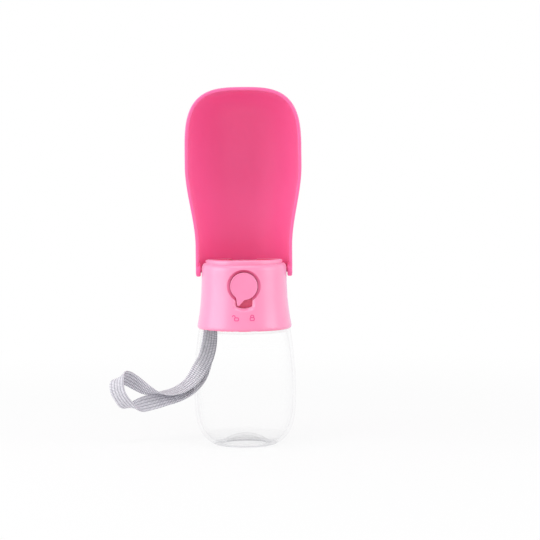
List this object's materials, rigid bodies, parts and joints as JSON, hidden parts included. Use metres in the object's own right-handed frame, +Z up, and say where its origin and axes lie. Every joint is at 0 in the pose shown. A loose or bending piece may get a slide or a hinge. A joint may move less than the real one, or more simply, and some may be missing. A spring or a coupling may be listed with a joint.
{
  "type": "dog travel water bottle",
  "caption": "Clear bottle with a screw-on valve head, a thumb button, a drinking trough that folds over the bottle and a webbing wrist strap.",
  "frame": {"origin": "on the bottle's axis, at the ring it stands on", "axes": "+Z up along the bottle's axis, -Y towards the button, +X to the right as seen from the button"},
  "size_m": [0.1444, 0.0811, 0.265],
  "materials": {
    "clear_plastic": "clear, polished",
    "pink_plastic": "satin moulded",
    "deep_pink_plastic": "satin moulded",
    "white_plastic": "moulded",
    "silicone": "soft, matt",
    "steel": "drawn wire",
    "webbing": "ribbed woven webbing"
  },
  "bodies": {
    "bottle": {"bottle": "clear_plastic"},
    "gasket": {"neck_gasket": "silicone"},
    "head": {"head_shell": "pink_plastic", "inner_cap": "white_plastic", "cap_screws": "steel", "rim_deck": "pink_plastic", "valve_body": "white_plastic", "inlet_seal": "silicone", "outlet_seal": "silicone", "end_plug": "white_plastic", "end_plug_seal": "silicone", "return_spring": "steel", "hinge_pin_left": "deep_pink_plastic", "hinge_pin_right": "deep_pink_plastic", "strap_bar": "steel", "wrist_strap": "webbing"},
    "stem": {"valve_stem": "white_plastic", "stem_seal_front": "silicone", "stem_seal_rear": "silicone", "poppet_seal": "silicone", "poppet_clip": "steel", "button_clip": "steel"},
    "button": {"push_button": "pink_plastic"},
    "trough": {"trough": "deep_pink_plastic"}
  },
  "joints": [
    {"name": "head_rise", "type": "slide", "parent": "bottle", "child": "gasket", "axis": [0, 0, 1], "range_m": [0, 0.00101]},
    {"name": "head_turn", "type": "hinge", "parent": "gasket", "child": "head", "pos_m": [0, 0, 0.09], "axis": [0, 0, 1], "range_deg": [0, 120]},
    {"name": "trough_fold", "type": "hinge", "parent": "head", "child": "trough", "pos_m": [0, 0, 0.13], "axis": [1, 0, 0], "range_deg": [0, 180]},
    {"name": "button_press", "type": "slide", "parent": "head", "child": "stem", "axis": [0, 1, 0], "range_m": [0, 0.003], "stiffness_N_per_m": 600, "springref_m": -0.006, "deforming": ["return_spring"]},
    {"name": "lock_turn", "type": "hinge", "parent": "stem", "child": "button", "pos_m": [0, -0.03, 0.12], "axis": [0, -1, 0], "range_deg": [0, 34]}
  ],
  "couplings": [
    {"joint": "head_rise", "follows": "head_turn", "m_per_rad": 0.00047746}
  ]
}
